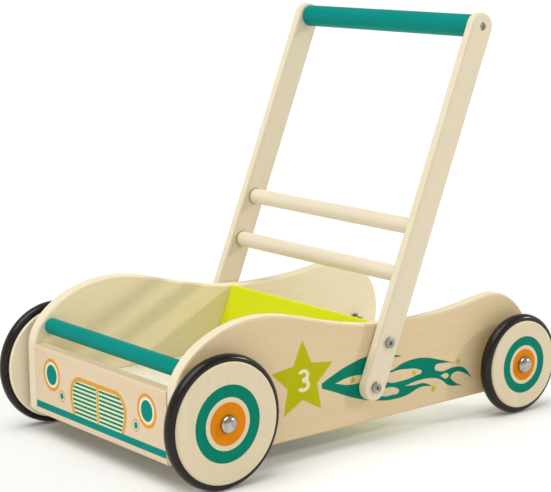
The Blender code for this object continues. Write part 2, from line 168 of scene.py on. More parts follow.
# Inner half of each wheel: beech much paler than on the outer face, painted light that brightens the shaded
# inner face of the far wheel
BACK_BEECH_PAINTED_LIGHT = ((0.94, 0.86, 0.66), (0.88, 0.78, 0.57))
BEECH = ((0.84, 0.755, 0.58), (0.765, 0.66, 0.475))
TEAL = (0.0, 0.25, 0.21)
PRINT_TEAL = (0.0, 0.185, 0.118)
SLAT_TEAL = (0.004, 0.135, 0.088)
OLIVE = (0.43, 0.42, 0.003)
LIME = (0.72, 0.77, 0.012)
ORANGE = (0.76, 0.35, 0.035)
DEEP_ORANGE = (0.66, 0.21, 0.002)
AMBER = (0.52, 0.31, 0.03)
CREAM = (0.86, 0.80, 0.56)
NUMBER_CREAM = (0.73, 0.70, 0.47)
MINT = (0.64, 0.80, 0.52)
CHROME = ((0.52, 0.50, 0.46), (0.34, 0.32, 0.29))
ZINC = ((0.42, 0.40, 0.34), (0.23, 0.215, 0.18))
RUBBER = ((0.017, 0.013, 0.008), (0.007, 0.0055, 0.003))
NYLON = ((0.88, 0.87, 0.84), (0.80, 0.79, 0.74))
CARD = ((0.93, 0.93, 0.925), (0.90, 0.90, 0.895))


# Node helpers


def add_node(tree, kind, inputs=None, **settings):
    """Adds a node. An input that is given a socket is linked to it, and any other value is set."""
    made = tree.nodes.new(kind)
    for name, value in settings.items():
        setattr(made, name, value)
    for name, value in (inputs or {}).items():
        if isinstance(value, bpy.types.NodeSocket):
            tree.links.new(value, made.inputs[name])
        else:
            made.inputs[name].default_value = value
    return made


def calc(tree, operation, first, second=0.0, third=0.0):
    sockets = {0: first, 1: second, 2: third}
    return add_node(tree, "ShaderNodeMath", sockets, operation=operation).outputs[0]


def weighed(tree, first, share, second, other_share):
    """The sum of two values, each times its share."""
    return calc(tree, "MULTIPLY_ADD", first, share, calc(tree, "MULTIPLY", second, other_share))


def stretched_noise(tree, place, scale, detail=2.0, distortion=0.0):
    """Noise whose features are 1/scale metres long on each axis."""
    mapping = add_node(tree, "ShaderNodeMapping", {"Vector": place, "Scale": scale})
    sockets = {"Vector": mapping.outputs[0], "Scale": 1.0, "Detail": detail, "Distortion": distortion}
    return add_node(tree, "ShaderNodeTexNoise", sockets).outputs[0]


def spread(tree, value, low, high, to_low=0.0, to_high=1.0):
    """Maps low..high to to_low..to_high, and holds it there beyond."""
    sockets = {"Value": value, "From Min": low, "From Max": high, "To Min": to_low, "To Max": to_high}
    return add_node(tree, "ShaderNodeMapRange", sockets).outputs[0]


def mixed(tree, share, first, second, blend="MIX"):
    """Blends two colours. On a Mix node, inputs 6 and 7 and output 2 are the colour ones."""
    mix = add_node(tree, "ShaderNodeMix", data_type="RGBA", blend_type=blend)
    for socket, value in ((mix.inputs[0], share), (mix.inputs[6], first), (mix.inputs[7], second)):
        if isinstance(value, bpy.types.NodeSocket):
            tree.links.new(value, socket)
        elif isinstance(value, tuple):
            socket.default_value = (*value, 1)
        else:
            socket.default_value = value
    return mix.outputs[2]


def started(name, **constants):
    """A new material with its shader, the constants set on the shader's own sockets."""
    material = bpy.data.materials.new(name)
    material.use_nodes = True
    tree = material.node_tree
    shader = tree.nodes["Principled BSDF"]
    for socket, value in constants.items():
        shader.inputs[socket.replace("_", " ")].default_value = value
    return material, tree, shader


def object_place(tree, tilt=0.0):
    """Object coordinates, turned about X so that a leaning board's grain stands up straight."""
    place = add_node(tree, "ShaderNodeTexCoord").outputs["Object"]
    if tilt:
        place = add_node(tree, "ShaderNodeMapping", {"Vector": place, "Rotation": (tilt, 0, 0)}).outputs[0]
    return place


def link_surface(tree, shader, tone, roughness):
    tree.links.new(tone, shader.inputs["Base Color"])
    tree.links.new(roughness, shader.inputs["Roughness"])


def relief(tree, shader, height, strength, distance):
    sockets = {"Height": height, "Strength": strength, "Distance": distance}
    bump = add_node(tree, "ShaderNodeBump", sockets)
    tree.links.new(bump.outputs[0], shader.inputs["Normal"])


# Finishes


def grain_place(tree, along, across, through, tilt, first_face, ply):
    """Coordinates that run along the grain, across it and through the plies, and each ply's parity.

    The plies are counted inwards from the face nearest the middle of the walker, on both sides of it.
    """
    split = add_node(tree, "ShaderNodeSeparateXYZ", {"Vector": object_place(tree, tilt)})
    side = calc(tree, "SIGN", split.outputs["X"])
    depth = split.outputs[through]
    if through == "X":
        depth = calc(tree, "ABSOLUTE", depth)
    layer = calc(tree, "DIVIDE", calc(tree, "SUBTRACT", depth, first_face - FACE_SKIN), ply)
    index = calc(tree, "FLOOR", layer)
    parity = calc(tree, "MODULO", calc(tree, "ABSOLUTE", index), 2.0)
    down = calc(tree, "ADD", split.outputs[along], weighed(tree, index, 0.713, side, 0.37))
    over = calc(tree, "ADD", split.outputs[across], calc(tree, "MULTIPLY", index, 0.129))
    long_ply = add_node(tree, "ShaderNodeCombineXYZ", {"X": down, "Y": over, "Z": depth}).outputs[0]
    cross_ply = add_node(tree, "ShaderNodeCombineXYZ", {"X": over, "Y": down, "Z": depth}).outputs[0]
    chosen = {0: parity, 4: long_ply, 5: cross_ply}  # a Mix node's share and its two vectors
    mix = add_node(tree, "ShaderNodeMix", chosen, data_type="VECTOR")
    return mix.outputs[1], parity, layer


def wood_surface(tree, shader, place, light, dark, contrast=1.0, pores=0.90):
    """Colour, gloss and relief of close-grained pale wood whose grain runs along the first axis."""
    streak = stretched_noise(tree, place, (7, 330, 330), detail=4.0)
    figure = stretched_noise(tree, place, (2.4, 24, 24), detail=2.0, distortion=0.6)
    fibre = stretched_noise(tree, place, (90, 2300, 2300), detail=1.0)
    share = weighed(tree, streak, 0.8, figure, 0.8)
    share = spread(tree, share, 0.8 - 0.5 / contrast, 0.8 + 0.5 / contrast)
    tone = mixed(tree, share, dark, light)
    fleck = spread(tree, fibre, 0.60, 0.74)
    pored = mixed(tree, 1.0, tone, (pores, pores * 0.97, pores * 0.92), "MULTIPLY")
    tone = mixed(tree, fleck, tone, pored)
    gloss = calc(tree, "MULTIPLY_ADD", fleck, 0.3, streak)
    tree.links.new(spread(tree, gloss, 0.3, 0.9, 0.40, 0.56), shader.inputs["Roughness"])
    relief(tree, shader, weighed(tree, streak, 0.5, fleck, -0.35), 0.22, 0.0004)
    return tone


def birch_plywood(
    name, axes, first_face, thickness, plies, inside, outside, core=EDGE_BIRCH, tilt=0.0, edge=0.93
):
    """Lacquered birch plywood: a tone for each face veneer, and cross-banded plies at the edges."""
    material, tree, shader = started(name, Specular_IOR_Level=0.3, Coat_Weight=0.10, Coat_Roughness=0.25)
    ply = (thickness + 2 * FACE_SKIN) / plies
    place, parity, layer = grain_place(tree, *axes, tilt, first_face, ply)
    in_first = spread(tree, layer, 1 - PLY_BLEND, 1 + PLY_BLEND, 1.0, 0.0)
    in_last = spread(tree, layer, plies - 1 - PLY_BLEND, plies - 1 + PLY_BLEND)
    veneers = []
    for shade in (0, 1):
        veneer = mixed(tree, in_first, core[shade], inside[shade])
        veneers.append(mixed(tree, in_last, veneer, outside[shade]))
    tone = wood_surface(tree, shader, place, *veneers)
    cross = mixed(tree, 1.0, tone, (edge, edge * 0.97, edge * 0.91), "MULTIPLY")
    tone = mixed(tree, parity, tone, cross)
    from_middle = calc(tree, "ABSOLUTE", calc(tree, "SUBTRACT", calc(tree, "FRACT", layer), 0.5))
    glue = spread(tree, from_middle, 0.42, 0.49, 0.0, 0.5)
    tone = mixed(tree, glue, tone, mixed(tree, 1.0, tone, (0.62, 0.50, 0.38), "MULTIPLY"))
    tree.links.new(tone, shader.inputs["Base Color"])
    return material


def solid_wood(name, along, across, through, tones):
    """Lacquered close-grained timber with its grain along one axis."""
    material, tree, shader = started(name, Specular_IOR_Level=0.3, Coat_Weight=0.12, Coat_Roughness=0.22)
    split = add_node(tree, "ShaderNodeSeparateXYZ", {"Vector": object_place(tree)})
    order = {"X": split.outputs[along], "Y": split.outputs[across], "Z": split.outputs[through]}
    place = add_node(tree, "ShaderNodeCombineXYZ", order).outputs[0]
    tree.links.new(wood_surface(tree, shader, place, *tones, 0.8), shader.inputs["Base Color"])
    return material


def colour_on_wood(name, colour, along, depth=0.10, coat=0.0, tilt=0.0):
    """Paint or ink on wood: the grain shows through as faint streaks, open pores and fine relief."""
    material, tree, shader = started(name, Specular_IOR_Level=0.03, Coat_Weight=coat, Coat_Roughness=0.12)
    long_scale = {"X": (9, 300, 300), "Y": (300, 9, 300), "Z": (300, 300, 9)}[along]
    pore_scale = tuple(axis * 7 for axis in long_scale)
    place = object_place(tree, tilt)
    streak = stretched_noise(tree, place, long_scale, detail=4.0)
    cloud = stretched_noise(tree, place, (14, 14, 14), detail=2.0)
    pore = spread(tree, stretched_noise(tree, place, pore_scale, detail=1.0), 0.60, 0.74)
    deep = tuple(channel * (1 - depth) for channel in colour)
    pale = tuple(min(1.0, channel * (1 + depth * 0.7) + 0.004) for channel in colour)
    share = weighed(tree, streak, 0.7, cloud, 0.7)
    tone = mixed(tree, spread(tree, share, 0.35, 1.05), deep, pale)
    tone = mixed(tree, calc(tree, "MULTIPLY", pore, 0.25), tone, deep)
    link_surface(tree, shader, tone, spread(tree, streak, 0.3, 0.7, 0.34, 0.48))
    relief(tree, shader, weighed(tree, streak, 0.6, pore, -0.3), 0.14, 0.0004)
    return material


def tyre_rubber():
    """Black moulded rubber with a soft sheen, faint bloom and fine mould texture."""
    material, tree, shader = started("tyre_rubber", Specular_IOR_Level=0.28)
    place = object_place(tree)
    bloom = stretched_noise(tree, place, (22, 22, 22), detail=3.0)
    texture = stretched_noise(tree, place, (2600, 2600, 2600), detail=1.0)
    light, dark = RUBBER
    tone = mixed(tree, spread(tree, bloom, 0.35, 0.75), dark, light)
    link_surface(tree, shader, tone, spread(tree, bloom, 0.3, 0.7, 0.15, 0.25))
    relief(tree, shader, texture, 0.12, 0.0002)
    return material


def metal(name, tones, gloss, scratches, strength):
    """Plated metal with fine scratches and uneven polish."""
    material, tree, shader = started(name, Metallic=1.0)
    place = object_place(tree)
    wear = stretched_noise(tree, place, (160, 160, 160), detail=3.0)
    scratch = stretched_noise(tree, place, scratches, detail=2.0)
    light, dark = tones
    tone = mixed(tree, spread(tree, wear, 0.35, 0.7), dark, light)
    link_surface(tree, shader, tone, spread(tree, weighed(tree, wear, 0.6, scratch, 0.4), 0.3, 0.7, *gloss))
    relief(tree, shader, scratch, strength, 0.0001)
    return material


def white_nylon():
    """Moulded nylon, cloudy and slightly see-through."""
    material, tree, shader = started("white_nylon", Subsurface_Weight=0.1)
    shader.inputs["Subsurface Radius"].default_value = (0.002, 0.002, 0.0015)
    place = object_place(tree)
    cloud = stretched_noise(tree, place, (120, 120, 120), detail=2.0)
    texture = stretched_noise(tree, place, (1800, 1800, 1800), detail=1.0)
    light, dark = NYLON
    tone = mixed(tree, cloud, dark, light)
    link_surface(tree, shader, tone, spread(tree, cloud, 0.3, 0.7, 0.38, 0.52))
    relief(tree, shader, texture, 0.1, 0.0001)
    return material


def make_finishes():
    panel = OUTER - INNER
    post = POST_HIGH.x - POST_LOW.x
    front = FRONT_HIGH.y - FRONT_LOW.y
    low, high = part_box("floor_panel")
    return {
        # The tray-facing veneers take the paler tone, painted light inside the tray
        "side_ply": birch_plywood(
            "side_birch", "YZX", INNER, panel, BOARD_PLIES, INSIDE_BIRCH_PAINTED_LIGHT, SIDE_BIRCH
        ),
        "front_ply": birch_plywood(
            "front_birch", "XZY", FRONT_LOW.y, front, BOARD_PLIES, FRONT_BIRCH, INSIDE_BIRCH_PAINTED_LIGHT, FRONT_BIRCH
        ),
        "post_ply": birch_plywood(
            "post_birch", "ZYX", POST_LOW.x, post, POST_PLIES, POST_BIRCH, POST_BIRCH,
            tilt=POST_TILT, edge=0.88,
        ),
        "floor_wood": birch_plywood(
            "floor_birch", "YXZ", low.z, high.z - low.z, FLOOR_PLIES, FLOOR_BIRCH, FLOOR_BIRCH
        ),
        "rail_wood": solid_wood("rail_beech", "X", "Y", "Z", BEECH),
        "wheel_wood": solid_wood("wheel_beech", "Z", "Y", "X", WHEEL_BEECH),
        "wheel_inner_painted_light": solid_wood("back_face_beech_painted_light", "Z", "Y", "X", BACK_BEECH_PAINTED_LIGHT),
        "bar_paint": colour_on_wood("teal_satin_paint", TEAL, "X", 0.10, 0.02),
        "lime_paint": colour_on_wood("lime_satin_paint", LIME, "X", 0.05, 0.02, POST_TILT),
        "wheel_teal": colour_on_wood("teal_ring_ink", PRINT_TEAL, "Z", 0.10),
        "wheel_orange": colour_on_wood("orange_ring_ink", DEEP_ORANGE, "Z", 0.10),
        "side_teal": colour_on_wood("teal_flame_ink", PRINT_TEAL, "Y", 0.10),
        "side_olive": colour_on_wood("olive_star_ink", OLIVE, "Y", 0.08),
        "side_cream": colour_on_wood("cream_number_ink", NUMBER_CREAM, "Y", 0.06),
        "front_teal": colour_on_wood("teal_front_ink", TEAL, "X", 0.10),
        "slat_teal": colour_on_wood("teal_slat_ink", SLAT_TEAL, "X", 0.10),
        "front_orange": colour_on_wood("orange_front_ink", ORANGE, "X", 0.08),
        "front_amber": colour_on_wood("amber_front_ink", AMBER, "X", 0.08),
        "front_mint": colour_on_wood("mint_front_ink", MINT, "X", 0.05),
        "front_cream": colour_on_wood("cream_front_ink", CREAM, "X", 0.05),
        "rubber": tyre_rubber(),
        "chrome": metal("axle_chrome", CHROME, (0.12, 0.24), (700, 700, 90), 0.05),
        "zinc": metal("zinc_plate", ZINC, (0.22, 0.38), (900, 900, 900), 0.12),
        "nylon": white_nylon(),
    }


# Modelling helpers


def in_scene(name, data):
    made = bpy.data.objects.new(name, data)
    bpy.context.scene.collection.objects.link(made)
    return made


def mesh_of(name, shape):
    mesh = bpy.data.meshes.new(name)
    shape.to_mesh(mesh)
    shape.free()
    return mesh


def evaluated(made):
    """The object's own shape with its modifiers or curve filled in, as a new bmesh."""
    bpy.context.view_layer.update()
    mesh = bpy.data.meshes.new_from_object(made.evaluated_get(bpy.context.evaluated_depsgraph_get()))
    shape = bmesh.new()
    shape.from_mesh(mesh)
    bpy.data.meshes.remove(mesh)
    return shape


def finished(name, shape, body, materials, replaced=(), crease=38):
    """Turns a bmesh into a finished piece that rides on a body and stands for frame nodes."""
    bmesh.ops.recalc_face_normals(shape, faces=shape.faces)
    mesh = mesh_of(name, shape)
    for material in materials:
        mesh.materials.append(material)
    mesh.shade_smooth()
    mesh.set_sharp_from_angle(angle=radians(crease))
    piece = in_scene(name, mesh)
    even = piece.modifiers.new("even_shading", "WEIGHTED_NORMAL")
    even.keep_sharp = True
    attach(piece, body)
    if replaced:
        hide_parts(*replaced)


def solid_object(name, shape):
    """A bare object for a cut, with its faces turned outwards."""
    bmesh.ops.recalc_face_normals(shape, faces=shape.faces)
    return in_scene(name, mesh_of(name, shape))


def carved(shape, cutters, operation="DIFFERENCE"):
    """The shape with each cutter taken away from it, or only what it shares with them."""
    blank = solid_object("blank", shape)
    tools = [solid_object("tool", cutter) for cutter in cutters]
    for tool in tools:
        boolean = blank.modifiers.new("cut", "BOOLEAN")
        boolean.operation = operation
        boolean.solver = "EXACT"
        boolean.object = tool
    result = evaluated(blank)
    for used in [blank, *tools]:
        bpy.data.objects.remove(used, do_unlink=True)
    return result


def shift(shape, vector):
    """Moves the whole shape."""
    bmesh.ops.translate(shape, verts=shape.verts, vec=vector)


def mirror(shape, sign):
    """Puts a shape made for the left side, where the sign is 1, on its own side."""
    bmesh.ops.scale(shape, verts=shape.verts, vec=(sign, 1, 1))


def quarter_turn(shape):
    """Turns what lies along X to lie along Y."""
    bmesh.ops.rotate(shape, verts=shape.verts, cent=(0, 0, 0), matrix=Matrix.Rotation(pi / 2, 3, "Z"))


def leaned(shape, about):
    """Tilts a shape with the posts, about a point on X."""
    bmesh.ops.rotate(shape, verts=shape.verts, cent=about, matrix=Matrix.Rotation(-POST_TILT, 3, "X"))
    return shape


def turned(profile, steps=SMALL_STEPS, centre=(0, 0, 0)):
    """Spins (x, radius) points about X. A profile that stays off the axis closes into a ring."""
    shape = bmesh.new()
    points = [shape.verts.new((x, 0, radius)) for x, radius in profile]
    edges = [shape.edges.new(pair) for pair in zip(points, points[1:])]
    if profile[0][1] > 0:
        edges.append(shape.edges.new((points[-1], points[0])))
    whole = {"cent": (0, 0, 0), "axis": (1, 0, 0), "angle": 2 * pi, "use_merge": True}
    bmesh.ops.spin(shape, geom=points + edges, steps=steps, **whole)
    bmesh.ops.remove_doubles(shape, verts=shape.verts, dist=1e-7)
    shift(shape, centre)
    return shape


def arc(centre, radius, first, last, steps):
    """Points round a centre, from the first angle to the last, in degrees. Two radii give an ellipse."""
    wide, high = radius if isinstance(radius, tuple) else (radius, radius)
    turns = [radians(first + (last - first) * step / steps) for step in range(steps + 1)]
    return [(centre[0] + wide * cos(turn), centre[1] + high * sin(turn)) for turn in turns]


def rod(start, end, radius, centre=(0, 0, 0), steps=SMALL_STEPS, chamfer=0.0):
    low, high = min(start, end), max(start, end)
    profile = [(low, 0), (low, radius - chamfer), (low + chamfer, radius)]
    profile += [(high - chamfer, radius), (high, radius - chamfer), (high, 0)]
    if not chamfer:
        profile = [(low, 0), (low, radius), (high, radius), (high, 0)]
    return turned(profile, steps, centre)


def counterbore(face, sign, radius, depth, centre, lip=0.0004):
    """A round recess from an outer face, its mouth eased by a small lip."""
    profile = [
        (sign * (face - depth), 0),
        (sign * (face - depth), radius),
        (sign * (face - lip), radius),
        (sign * face, radius + lip),
        (sign * (face + PAST), radius + lip),
        (sign * (face + PAST), 0),
    ]
    return turned(profile, SMALL_STEPS, centre)


def rounded(shape, edges, rounding):
    settings = {"segments": ROUND_STEPS, "profile": 0.5, "affect": "EDGES", "material": -1}
    bmesh.ops.bevel(shape, geom=edges, offset=rounding, **settings)


def board(outline, start, end, rounding):
    """Extrudes a closed (y, z) outline along X and rounds its two rims."""
    shape = bmesh.new()
    face = shape.faces.new([shape.verts.new((start, y, z)) for y, z in outline])
    moved = bmesh.ops.extrude_face_region(shape, geom=[face])["geom"]
    verts = [item for item in moved if isinstance(item, bmesh.types.BMVert)]
    bmesh.ops.translate(shape, verts=verts, vec=(end - start, 0, 0))
    if rounding:
        rims = [edge for edge in shape.edges if abs(edge.verts[0].co.x - edge.verts[1].co.x) < 1e-6]
        rounded(shape, rims, rounding)
    return shape


def box(low, high):
    shape = bmesh.new()
    bmesh.ops.create_cube(shape, size=1)
    size = Vector(high) - Vector(low)
    bmesh.ops.transform(shape, matrix=Matrix.Diagonal(size).to_4x4(), verts=shape.verts)
    shift(shape, (Vector(high) + Vector(low)) / 2)
    return shape


def hexagon(start, end, flats, centre=(0, 0, 0)):
    radius = flats / 2 / cos(pi / 6)
    low, high = min(start, end), max(start, end)
    return turned([(low, 0), (low, radius), (high, radius), (high, 0)], 6, centre)


# Boards


def side_outline():
    """The car's profile: knots on smooth curves, each with its handles as shares of the stretch."""
    crest = Vector((FRONT_AXLE.y + CREST_BACK, PANEL_HIGH.z))
    dip = Vector((REAR_AXLE.y - DIP[0], DATUM + DIP[1]))
    tail_crest = Vector((REAR_AXLE.y - TAIL_CREST[0], DATUM + TAIL_CREST[1]))
    tail = Vector((TAIL_Y, DATUM + TAIL_MIDDLE))
    heel = Vector((TAIL_Y - HEEL_LENGTH, BOTTOM))
    nose = Vector((NOSE_Y, DATUM + NOSE_TOP))
    level, upright = Vector((1, 0)), Vector((0, 1))
    stretches = (
        (nose, upright, 0.46, crest, level, 0.57),
        (crest, level, 0.28, dip, level, 0.51),
        (dip, level, 0.63, tail_crest, level, 0.20),
        (tail_crest, level, 0.51, tail, -upright, 0.47),
        (tail, -upright, 0.57, heel, -level, 0.76),
    )
    points = []
    for start, leaving, share_out, end, arriving, share_in in stretches:
        span = end - start
        handle_out = start + leaving * abs(span.dot(leaving)) * share_out
        handle_in = end - arriving * abs(span.dot(arriving)) * share_in
        curve = interpolate_bezier(start, handle_out, handle_in, end, CURVE_STEPS + 1)
        points += [(point.x, point.y) for point in curve[:-1]]
    points.append(tuple(heel))
    points += arc((NOSE_Y + TOE_RADIUS, BOTTOM + TOE_RADIUS), TOE_RADIUS, 270, 180, 8)
    return points


def floor_groove():
    low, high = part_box("floor_panel")
    return box(low - Vector((GAP, GAP, GAP)), high + Vector((GAP, GAP, GAP)))


def front_screws():
    return [level_with(f"front_panel_screw_{level}_left") for level in ("low", "high")]


def side_panel(side, sign, finish):
    through = (sign * (INNER - PAST), sign * (OUTER + PAST))
    cutters = [floor_groove()]
    for axle in ENDS.values():
        cutters.append(rod(*through, AXLE_RADIUS + GAP, axle))
    for bolt in (FOOT, UPPER_BOLT):
        cutters.append(rod(*through, BOLT_RADIUS + GAP, bolt))
    for screw in (FRONT_BAR, *front_screws()):
        cutters.append(rod(*through, SCREW_RADIUS + GAP, screw))
        cutters.append(counterbore(OUTER, sign, SCREW_HEAD_RADIUS + GAP, SCREW_RECESS, screw))
    shape = carved(board(side_outline(), sign * INNER, sign * OUTER, BOARD_ROUND), cutters)
    name = f"side_panel_{side}"
    finished(f"{name}_board", shape, "chassis", [finish["side_ply"]], [name])


def front_panel(finish):
    shape = box(FRONT_LOW, FRONT_HIGH)
    long_edges = [edge for edge in shape.edges if abs(edge.verts[0].co.x - edge.verts[1].co.x) > INNER]
    rounded(shape, long_edges, BOARD_ROUND)
    shape = carved(shape, [floor_groove()])
    finished("front_panel_board", shape, "chassis", [finish["front_ply"]], ["front_panel"])


def rear_panel(finish):
    """The sloping lime board, its top edges eased, bored from behind for the cross dowels."""
    half = (OUTER - INNER) / 2
    foot = FLOOR_TOP + GAP - FOOT.z
    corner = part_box("rear_panel")[1]
    top = (corner.z - FOOT.z - half * sin(POST_TILT)) / cos(POST_TILT)
    low_front = (foot - half * sin(POST_TILT)) / cos(POST_TILT)
    low_rear = (foot + half * sin(POST_TILT)) / cos(POST_TILT)
    easing = 0.002
    outline = [(-half, low_front), (half, low_rear)]
    outline += arc((half - easing, top - easing), easing, 0, 90, 6)
    outline += arc((-half + easing, top - easing), easing, 90, 180, 6)
    shape = board(outline, -corner.x, corner.x, 0)
    shift(shape, FOOT)
    shape = leaned(shape, FOOT)
    cutters = []
    for sign in SIDES.values():
        for level in ("foot", "upper"):
            dowel = middle(f"barrel_nut_{level}_left")
            hole = counterbore(half, 1, BARREL_RADIUS + GAP, half + BARREL_BORE, (0, 0, 0))
            quarter_turn(hole)
            place = Vector((sign * dowel.x, dowel.y, dowel.z))
            shift(hole, place)
            cutters.append(leaned(hole, place))
    shape = carved(shape, cutters)
    finished("rear_panel_board", shape, "chassis", [finish["lime_paint"]], ["rear_panel"])


def post(side, sign, finish):
    length = (HANDLE - FOOT).length
    outline = arc((0, 0), POST_HALF_WIDTH, 180, 360, 48) + arc((0, length), POST_HALF_WIDTH, 0, 180, 48)
    shape = board(outline, sign * POST_LOW.x, sign * POST_HIGH.x, POST_ROUND)
    shift(shape, FOOT)
    shape = leaned(shape, FOOT)
    through = (sign * (POST_LOW.x - PAST), sign * (POST_HIGH.x + PAST))
    cutters = [rod(*through, BOLT_RADIUS + GAP, bolt) for bolt in (FOOT, UPPER_BOLT)]
    cutters.append(rod(*through, SCREW_RADIUS + GAP, HANDLE))
    cutters.append(counterbore(POST_HIGH.x, sign, SCREW_HEAD_RADIUS + GAP, SCREW_RECESS, HANDLE, 0.0006))
    for rail in ("lower_rail", "upper_rail"):
        centre = level_with(rail)
        tenon_end = sign * (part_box(rail)[1].x + GAP)
        cutters.append(rod(sign * (POST_LOW.x - PAST), tenon_end, TENON_RADIUS + GAP, centre))
        socket = half_height(rail) + RAIL_SOCKET_GAP
        cutters.append(counterbore(-POST_LOW.x, -sign, socket, RAIL_SOCKET_DEPTH, centre))
    shape = carved(shape, cutters)
    name = f"post_{side}"
    finished(f"{name}_board", shape, "chassis", [finish["post_ply"]], [name])


# Bars and rails


def rail(name, finish):
    """A turned rail with a tenon in each post, its shoulders eased."""
    low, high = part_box(name)
    radius = (high.z - low.z) / 2
    shoulder = POST_LOW.x - 2 * GAP
    ease = 0.0006
    half = [(shoulder - ease, radius), (shoulder, radius - ease), (shoulder, TENON_RADIUS)]
    half += [(high.x - ease, TENON_RADIUS), (high.x, TENON_RADIUS - ease), (high.x, 0)]
    profile = [(-x, r) for x, r in reversed(half)] + half
    shape = turned(profile, BAR_STEPS, level_with(name))
    finished(f"{name}_turned", shape, "chassis", [finish["rail_wood"]], [name])


def painted_bar(name, finish):
    low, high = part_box(name)
    radius = (high.z - low.z) / 2
    shape = rod(low.x, high.x, radius, level_with(name), BAR_STEPS, 0.0008)
    finished(f"{name}_turned", shape, "chassis", [finish["bar_paint"]], [name])


# Wheels and axles


def wheel(end, side, sign, finish):
    name = f"wheel_{end}_{side}"
    axle = ENDS[end]
    low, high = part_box(f"wheel_{end}_left")
    rim = half_height(f"wheel_{end}_left")
    bore = half_height(f"wheel_bush_{end}_left") + GAP
    tyre_low, tyre_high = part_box(f"tyre_{end}_left")
    tyre_centre = (tyre_high.z - tyre_low.z) / 2 - TYRE_HALF_DEPTH
    channel = ((tyre_high.x - tyre_low.x) / 2 + GAP, TYRE_HALF_DEPTH + GAP)
    mouth = degrees(asin((tyre_centre - rim) / channel[1]))
    grow = 1.0 if end == "front" else REAR_RINGS
    centre_x = (low.x + high.x) / 2
    profile = [(low.x, bore)]
    profile += arc((low.x + WHEEL_EDGE, rim - WHEEL_EDGE), WHEEL_EDGE, 180, 90, 8)
    profile += arc((centre_x, tyre_centre), channel, 180 + mouth, 360 - mouth, 20)
    profile += arc((high.x - WHEEL_EDGE, rim - WHEEL_EDGE), WHEEL_EDGE, 90, 0, 8)
    rings = [TEAL_RING[1] * grow, TEAL_RING[0] * grow, ORANGE_DISC * grow]
    profile += [(high.x, ring) for ring in rings]
    profile += [(high.x, bore + BORE_EASE), (high.x - BORE_EASE, bore)]
    shape = turned(profile, WHEEL_STEPS, axle)
    mirror(shape, sign)
    for face in shape.faces:
        place = face.calc_center_median()
        radius = (place.yz - axle.yz).length
        # The inner half takes the paler beech, painted light standing in for light on its shaded inner face
        if abs(place.x) < centre_x:
            face.material_index = 3
        elif abs(abs(place.x) - high.x) < 1e-5:
            if radius < rings[2]:
                face.material_index = 1
            elif rings[1] < radius < rings[0]:
                face.material_index = 2
    materials = [finish[key] for key in ("wheel_wood", "wheel_orange", "wheel_teal", "wheel_inner_painted_light")]
    finished(f"{name}_turned", shape, f"{end}_{side}_wheel", materials, [name])


def tyre(end, side, sign, finish):
    """An oval rubber ring with a fine mould line on each shoulder."""
    name = f"tyre_{end}_{side}"
    low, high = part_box(f"tyre_{end}_left")
    half_width = (high.x - low.x) / 2
    ring = (high.z - low.z) / 2 - TYRE_HALF_DEPTH
    centre_x = (low.x + high.x) / 2
    line = 0.00012
    profile = []
    for step in range(40):
        turn = 2 * pi * step / 40
        proud = line if step in (5, 15) else 0
        across = (half_width + proud) * cos(turn)
        profile.append((centre_x + across, ring + (TYRE_HALF_DEPTH + proud) * sin(turn)))
    shape = turned(profile, WHEEL_STEPS, ENDS[end])
    mirror(shape, sign)
    finished(f"{name}_ring", shape, f"{end}_{side}_wheel", [finish["rubber"]], [name], 60)


def axle_bolt(end, side, sign, finish):
    """A domed axle bolt: polished head outside the wheel, threaded end inside the tray."""
    name = f"axle_bolt_{end}_{side}"
    low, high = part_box(f"axle_bolt_{end}_left")
    head = half_height(f"axle_bolt_{end}_left")
    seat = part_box(f"wheel_{end}_left")[1].x + GAP
    nut_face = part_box(f"axle_nut_{end}_left")[0].x
    point, ease, skirt = 0.0009, 0.0003, 0.0008
    x = low.x + point
    profile = [(low.x, 0), (low.x, AXLE_RADIUS - point), (x, AXLE_RADIUS)]
    while x + THREAD_PITCH < nut_face - 0.0001:
        profile += [(x + THREAD_PITCH / 2, AXLE_RADIUS - THREAD_DEPTH), (x + THREAD_PITCH, AXLE_RADIUS)]
        x += THREAD_PITCH
    profile += [(seat, AXLE_RADIUS), (seat, head - ease), (seat + ease, head)]
    profile += arc((seat + skirt, 0), (high.x - seat - skirt, head), 90, 0, 18)[:-1]
    profile += [(high.x, 0)]
    shape = turned(profile, 64, ENDS[end])
    mirror(shape, sign)
    finished(f"{name}_domed", shape, "chassis", [finish["chrome"]], [name])


def axle_nut(end, side, sign, finish):
    """A hexagon nut with its corners chamfered."""
    name = f"axle_nut_{end}_{side}"
    centre = ENDS[end]
    low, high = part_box(f"axle_nut_{end}_left")
    flats = min(high.z - low.z, high.y - low.y)
    tip = flats / 2 / cos(pi / 6)
    face = flats / 2 * 0.97
    drop = (tip - face) * 0.5
    barrel = [(low.x, 0), (low.x, face), (low.x + drop, tip + 0.0001)]
    barrel += [(high.x - drop, tip + 0.0001), (high.x, face), (high.x, 0)]
    prism = hexagon(low.x, high.x, flats, centre)
    shape = carved(prism, [turned(barrel, 72, centre)], "INTERSECT")
    mouth, hole, past = AXLE_RADIUS + 0.0009, AXLE_RADIUS + 0.0001, 0.001
    bore = [(low.x - past, 0), (low.x - past, mouth), (low.x, mouth)]
    bore += [(low.x + 0.0008, hole), (high.x + past, hole), (high.x + past, 0)]
    shape = carved(shape, [turned(bore, SMALL_STEPS, centre)])
    mirror(shape, sign)
    finished(f"{name}_chamfered", shape, "chassis", [finish["zinc"]], [name], 20)


